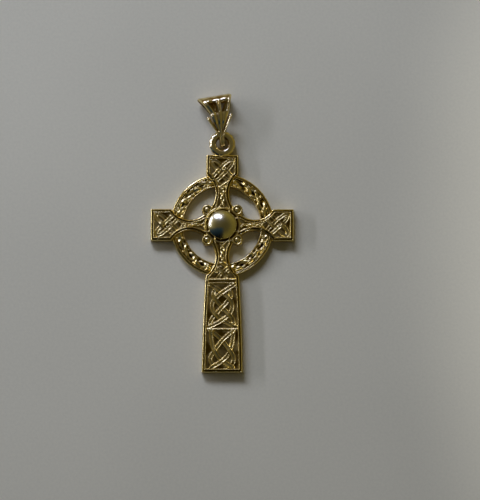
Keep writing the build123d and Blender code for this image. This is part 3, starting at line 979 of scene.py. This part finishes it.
def tip_mesh(sizes, name, side, material):
    """The round tip of a petal."""
    s = sizes.bail
    u, v = petal_path(s, side)[-1]
    u = u + sway_at(s, v - s.bottom)
    rows, columns = 20, 11
    around = np.linspace(0, 2 * pi, rows, endpoint=False)[:, None]
    down = np.linspace(0.12, pi - 0.12, columns)[None, :]
    around, down = np.broadcast_arrays(around, down)
    across = u + s.petal_tip * np.sin(down) * np.cos(around)
    along = v + s.petal_tip * np.sin(down) * np.sin(around)
    z = front_face(s, v) - s.sheet / 2 + s.petal_tip * 0.9 * np.cos(down)
    points = bail_points(sizes, across, along, z).reshape(-1, 3)
    faces = grid_faces(rows, columns, wrap_rows=True)
    faces += [[j * columns for j in range(rows)], [(j + 1) * columns - 1 for j in range(rows)][::-1]]
    return place(name, points, faces, np.full(len(points), 0.9), "bail", material, "bail")


# Materials


def add_node(tree, kind, inputs=None, **values):
    """Add a shader node with its settings. An input is a plain value, an output, or a node.

    A node stands for its first output.
    """
    made = tree.nodes.new("ShaderNode" + kind)
    for key, value in values.items():
        setattr(made, key, value)
    for key, value in (inputs or {}).items():
        if isinstance(value, bpy.types.Node):
            value = value.outputs[0]
        if isinstance(value, bpy.types.NodeSocket):
            tree.links.new(value, made.inputs[key])
        else:
            made.inputs[key].default_value = value
    return made


# The colour sockets of a Mix node, whose first ones are for plain numbers
MIX_A, MIX_B, MIX_RESULT = 6, 7, 2


def start_material(name):
    """An empty node material, and its tree."""
    material = bpy.data.materials.new(name)
    material.use_nodes = True
    material.node_tree.nodes.clear()
    return material, material.node_tree


def gold_material(name, clean_unshaded, grime_and_shade, clean_roughness, recess_roughness, grain_bump):
    """Yellow gold, lost-wax cast and tumbled.

    The high lines are burnished and mirror their surroundings. The recesses keep the fine skin of
    the casting and a little grime, so they are rougher; their darker, browner colour is partly that
    grime and partly painted shade.
    """
    material, tree = start_material(name)
    place_at = add_node(tree, "TexCoord").outputs["Object"]
    relief = add_node(tree, "Attribute", attribute_name="relief").outputs["Fac"]
    # Casting skin: grit of about 0.12 mm, and clouds of tarnish of about 1.6 mm
    skin = add_node(tree, "TexNoise", {"Vector": place_at, "Scale": 1 / (0.12 * MM), "Detail": 3.0})
    cloud = add_node(tree, "TexNoise", {"Vector": place_at, "Scale": 1 / (1.6 * MM), "Detail": 2.0})
    # Polishing lines, 0.05 mm apart and drawn long in one direction
    one_way = {"Vector": place_at, "Rotation": (0, 0, radians(35)), "Scale": (1, 0.08, 1)}
    drawn = add_node(tree, "Mapping", one_way)
    lines = add_node(tree, "TexNoise", {"Vector": drawn, "Scale": 1 / (0.05 * MM), "Detail": 2.0})
    # Tarnish clouds and the relief set how much recess colour shows: grime, and painted shade in the
    # hollows
    patchy = add_node(tree, "Math", {0: cloud, 1: -0.5}, operation="ADD")
    worn = add_node(tree, "Math", {0: relief, 1: patchy}, operation="ADD")
    clean_unshaded_share = add_node(tree, "MapRange", {0: worn, 1: 0.1, 2: 0.75}, interpolation_type="SMOOTHSTEP")
    colours = {"Factor": clean_unshaded_share, MIX_A: (*grime_and_shade, 1), MIX_B: (*clean_unshaded, 1)}
    tint = add_node(tree, "Mix", colours, data_type="RGBA").outputs[MIX_RESULT]
    rough = add_node(tree, "MapRange", {0: clean_unshaded_share, 3: recess_roughness, 4: clean_roughness})
    streak = add_node(tree, "MapRange", {0: lines, 1: 0.35, 2: 0.75, 3: 0.0, 4: 0.07})
    # Outer edges, which rub on clothes, are worn brighter than the rest
    rubbed = add_node(tree, "MapRange", {0: relief, 1: 1.1, 2: 1.4, 3: 1.0, 4: 0.5})
    dull = add_node(tree, "Math", {0: rough, 1: streak}, operation="ADD")
    roughness = add_node(tree, "Math", {0: dull, 1: rubbed}, operation="MULTIPLY", use_clamp=True)
    height = add_node(tree, "Math", {0: skin, 1: lines}, operation="ADD")
    strength = add_node(tree, "MapRange", {0: clean_unshaded_share, 3: grain_bump, 4: grain_bump * 0.25})
    bump = add_node(tree, "Bump", {"Height": height, "Strength": strength, "Distance": 0.012 * MM})
    surface = {"Base Color": tint, "Roughness": roughness, "Normal": bump, "Metallic": 1.0}
    shader = add_node(tree, "BsdfPrincipled", surface)
    add_node(tree, "OutputMaterial", {"Surface": shader})
    return material


def paper_material(shade):
    """Uncoated paper, made of pressed fibres: a matt, nearly even white with a faint tooth."""
    material, tree = start_material("uncoated_paper")
    place_at = add_node(tree, "TexCoord").outputs["Object"]
    # Fibres are finer than a pixel, so the tooth is drawn at 0.5 mm, which still shows
    tooth = add_node(tree, "TexNoise", {"Vector": place_at, "Scale": 1 / (0.5 * MM), "Detail": 4.0})
    cloud = add_node(tree, "TexNoise", {"Vector": place_at, "Scale": 1 / (40 * MM), "Detail": 1.0})
    mixed = add_node(tree, "Math", {0: tooth, 1: cloud}, operation="ADD")
    shading = add_node(tree, "MapRange", {0: mixed, 1: 0.6, 2: 1.4, 3: 0.9, 4: 1.0})
    tint = add_node(tree, "VectorMath", {0: shade, "Scale": shading}, operation="SCALE")
    bump = add_node(tree, "Bump", {"Height": tooth, "Strength": 0.5, "Distance": 0.03 * MM})
    surface = {"Base Color": tint, "Roughness": 0.9, "Normal": bump, "Specular IOR Level": 0.25}
    shader = add_node(tree, "BsdfPrincipled", surface)
    add_node(tree, "OutputMaterial", {"Surface": shader})
    return material


# Each finish of gold: its clean colour and the one of its recesses, their roughness, and the
# strength of its grain
GOLDS = {
    "cast_yellow_gold": ("gold", "gold_recess", 0.24, 0.42, 0.2),
    "burnished_yellow_gold": ("gold_boss", "gold_recess", 0.2, 0.32, 0.06),
    "polished_bail_gold": ("gold_bail", "bail_recess", 0.16, 0.36, 0.15),
}


def gold(name):
    """One of the finishes of gold, made once."""
    colours = settings(bpy.context).colours
    clean_unshaded, grime_and_shade, *values = GOLDS[name]
    made = bpy.data.materials.get(name)
    return made or gold_material(name, getattr(colours, clean_unshaded), getattr(colours, grime_and_shade), *values)


# Stage


def aim(thing, at, target, up=Vector((0, 1, 0))):
    """Put a lamp or the camera at a point, and turn it to face another."""
    at, target = Vector(at), Vector(target)
    back = (at - target).normalized()
    side = up.cross(back).normalized()
    turn = Matrix((side, back.cross(side), back)).transposed().to_4x4()
    thing.matrix_world = Matrix.Translation(at) @ turn


def soft_light(name, direction, distance, size, power, tint, kind="AREA", matt=True, shiny=True):
    """A soft light that faces the pendant from a direction: a rectangle, or a beam with a soft edge.

    It may light only the matt things or only show in the shiny ones.
    """
    lamp = bpy.data.lights.new(name, kind)
    if kind == "AREA":
        lamp.shape = "RECTANGLE"
        lamp.size, lamp.size_y = size
    else:
        lamp.spot_size, lamp.spot_blend = radians(34), 0.4
    lamp.energy, lamp.color = power, tint
    thing = bpy.data.objects.new(name, lamp)
    thing.visible_diffuse, thing.visible_glossy = matt, shiny
    bpy.context.collection.objects.link(thing)
    aim(thing, Vector(direction).normalized() * distance, (0, 0, 0))
    return thing


# Colours of the room by how high they stand, from the horizon to overhead
ROOM_STOPS = (
    (0.0, "#3B3620"),
    (0.12, "#4F492D"),
    (0.35, "#857B49"),
    (0.6, "#736C45"),
    (0.85, "#4E4936"),
    (1.0, "#48442F"),
)


def room():
    """The dim room that the metal mirrors: dark overhead, paler to the sides, darkest low down."""
    world = bpy.data.worlds.new("room")
    world.use_nodes = True
    tree = world.node_tree
    tree.nodes.clear()
    way = add_node(tree, "TexCoord").outputs["Generated"]
    parts = add_node(tree, "SeparateXYZ", {0: way}).outputs
    ramp = add_node(tree, "ValToRGB", {"Fac": parts["Z"]})
    while len(ramp.color_ramp.elements) < len(ROOM_STOPS):
        ramp.color_ramp.elements.new(0.5)
    for element, (spot, text) in zip(ramp.color_ramp.elements, ROOM_STOPS):
        element.position = spot
        element.color = (*to_linear(text), 1)
    # The room is paler towards the window, up and left, and darker towards the other side
    side = add_node(tree, "VectorMath", {0: way, 1: (-0.7, 0.7, 0.0)}, operation="DOT_PRODUCT")
    swing = add_node(tree, "MapRange", {0: side.outputs["Value"], 1: -1.0, 2: 1.0, 3: 0.7392, 4: 1.568})
    shade = add_node(tree, "VectorMath", {0: ramp, "Scale": swing}, operation="SCALE")
    # A dark piece of clothing stands low and left of the pendant, and shows in its boss
    low = add_node(tree, "MapRange", {0: parts["Y"], 1: -0.19, 2: -0.27})
    left = add_node(tree, "MapRange", {0: parts["X"], 1: 0.13, 2: 0.05})
    dark = add_node(tree, "Math", {0: low, 1: left}, operation="MULTIPLY")
    fade = add_node(tree, "MapRange", {0: parts["Y"], 1: -0.85, 2: -0.35})
    cloth = add_node(tree, "VectorMath", {0: to_linear("#1D3658"), "Scale": fade}, operation="SCALE")
    colours = {"Factor": dark, MIX_A: shade, MIX_B: cloth}
    mixed = add_node(tree, "Mix", colours, data_type="RGBA").outputs[MIX_RESULT]
    # Things that stand round the pendant keep about half of the room's light off the paper
    matt = add_node(tree, "LightPath").outputs["Is Diffuse Ray"]
    fill = add_node(tree, "MapRange", {0: matt, 3: 1.0, 4: 0.55})
    back = add_node(tree, "Background", {"Color": mixed, "Strength": fill})
    add_node(tree, "OutputWorld", {"Surface": back})
    bpy.context.scene.world = world


# Operators


class PENDANT_OT_cross(bpy.types.Operator):
    """Model the cross's head, side arms and shaft, with their beads and interlace"""

    bl_idname = "pendant.cross"
    bl_label = "Cross"

    def execute(self, context):
        sizes = settings(context)
        for arm in arms_of(sizes.cross):
            arm_mesh(sizes, arm, gold("cast_yellow_gold"))
        return {"FINISHED"}


class PENDANT_OT_ring(bpy.types.Operator):
    """Model the ring with the twist along its channel"""

    bl_idname = "pendant.ring"
    bl_label = "Ring"

    def execute(self, context):
        ring_mesh(settings(context).ring, gold("cast_yellow_gold"))
        return {"FINISHED"}


class PENDANT_OT_boss(bpy.types.Operator):
    """Model the boss, its collar and the four roundels"""

    bl_idname = "pendant.boss"
    bl_label = "Boss and Roundels"

    def execute(self, context):
        boss = settings(context).boss
        collar_mesh(boss, gold("cast_yellow_gold"))
        boss_mesh(boss, gold("burnished_yellow_gold"))
        for number in range(4):
            angle = radians(45 + 90 * number)
            out = sqrt(2) * boss.roundel_place
            middle = (out * cos(angle), out * sin(angle))
            roundel_mesh(boss, f"roundel_{number + 1}", middle, gold("cast_yellow_gold"))
        return {"FINISHED"}


class PENDANT_OT_loop(bpy.types.Operator):
    """Model the loop on the head"""

    bl_idname = "pendant.loop"
    bl_label = "Loop"

    def execute(self, context):
        loop_mesh(settings(context), gold("polished_bail_gold"))
        return {"FINISHED"}


class PENDANT_OT_bail(bpy.types.Operator):
    """Model the bail: its folded strip, rib and petals"""

    bl_idname = "pendant.bail"
    bl_label = "Bail"

    def execute(self, context):
        sizes = settings(context)
        s = sizes.bail
        material = gold("polished_bail_gold")
        strip_mesh(sizes, material)
        # The rib runs from the petals' root to a little over the fold's start
        rib = [(0.0, v) for v in np.linspace(s.bottom + s.petal_start, leaf_ends(s)[1] + 0.5, 25)]
        blade(sizes, "bail_rib", rib, np.full(len(rib), 0.7 * s.rib_width), s.rib_rise, 0, material)
        # A petal is narrow and low at its root, and widens and rises up to its tip
        widths = s.petal_width * np.linspace(0.4, 1, PETAL_STEPS)
        rise = 0.2 * np.linspace(0.2, 1, PETAL_STEPS)[:, None]
        for name, side in (("left", -1), ("right", 1)):
            blade(sizes, f"bail_petal_{name}", petal_path(s, side), widths, rise, 0.6 * side, material)
            tip_mesh(sizes, f"bail_petal_tip_{name}", side, material)
        return {"FINISHED"}


class PENDANT_OT_stage(bpy.types.Operator):
    """Lay the paper, and set the light, the room and the camera"""

    bl_idname = "pendant.stage"
    bl_label = "Stage"

    def execute(self, context):
        colours = settings(context).colours
        bpy.ops.mesh.primitive_plane_add(size=0.9, location=(0, 0, -0.01 * MM))
        paper = context.object
        paper.name = "paper"
        paper.data.materials.append(paper_material(colours.paper))
        # Each light has its direction, its distance and size in metres, its power in watts and its
        # tint. The windows' own image in the metal is bluer than their light on the paper. It stands
        # nearer, because two lamps in one place would hide each other.
        window, side = (-0.33, 0.74, 0.6), (-0.87, 0.32, 0.37)
        soft_light("window", window, 0.6, (0.34, 0.15), 1.76, (0.9, 1.0, 1.28), shiny=False)
        soft_light("window_gleam", window, 0.55, (0.3, 0.108), 1.16, (0.84, 1.0, 2.45), matt=False)
        soft_light("side_window", side, 0.6, (0.032, 0.42), 0.7, (0.95, 1.0, 1.25), shiny=False)
        soft_light("side_gleam", side, 0.55, (0.029, 0.385), 0.6, (0.9, 1.0, 1.9), matt=False)
        # A pool of light falls on the paper to the right of the pendant
        pool = soft_light("light_pool", (0.0, 0.0, 1.0), 0.5, (0.02, 0.02), 2.75, (1.0, 1.0, 1.0), "SPOT")
        pool.location.x = 180 * MM
        room()
        # The camera looks down, almost straight, at a point on the paper
        target, back, distance = Vector((3.28, -4.45, 0)) * MM, Vector((-0.026, -0.07, 0.997)), 0.35
        camera = bpy.data.objects.new("camera", bpy.data.cameras.new("camera"))
        camera.data.lens = 137.7
        context.collection.objects.link(camera)
        aim(camera, target + back.normalized() * distance, target)
        context.scene.camera = camera
        context.scene.view_settings.view_transform = "Standard"
        return {"FINISHED"}


OPERATORS = (
    PENDANT_OT_cross,
    PENDANT_OT_ring,
    PENDANT_OT_boss,
    PENDANT_OT_loop,
    PENDANT_OT_bail,
    PENDANT_OT_stage,
)


class PENDANT_PT_sidebar(bpy.types.Panel):
    """Sizes, colours and steps of the pendant"""

    bl_idname = "PENDANT_PT_sidebar"
    bl_label = "Pendant"
    bl_space_type = "VIEW_3D"
    bl_region_type = "UI"
    bl_category = "Pendant"

    def draw(self, context):
        for operator in OPERATORS:
            self.layout.operator(operator.bl_idname)
        for name, kind in GROUPS.items():
            box = self.layout.box()
            for key in kind.__annotations__:
                box.prop(getattr(context.scene, name), key)


CLASSES = (*GROUPS.values(), *OPERATORS, PENDANT_PT_sidebar)


def register():
    for kind in CLASSES:
        bpy.utils.register_class(kind)
    for name, kind in GROUPS.items():
        setattr(bpy.types.Scene, name, PointerProperty(type=kind))


def unregister():
    for name in GROUPS:
        delattr(bpy.types.Scene, name)
    for kind in reversed(CLASSES):
        bpy.utils.unregister_class(kind)


def main():
    """Make every piece and the stage."""
    register()
    for operator in OPERATORS:
        group, step = operator.bl_idname.split(".")
        getattr(getattr(bpy.ops, group), step)()


if __name__ == "__main__":
    main()
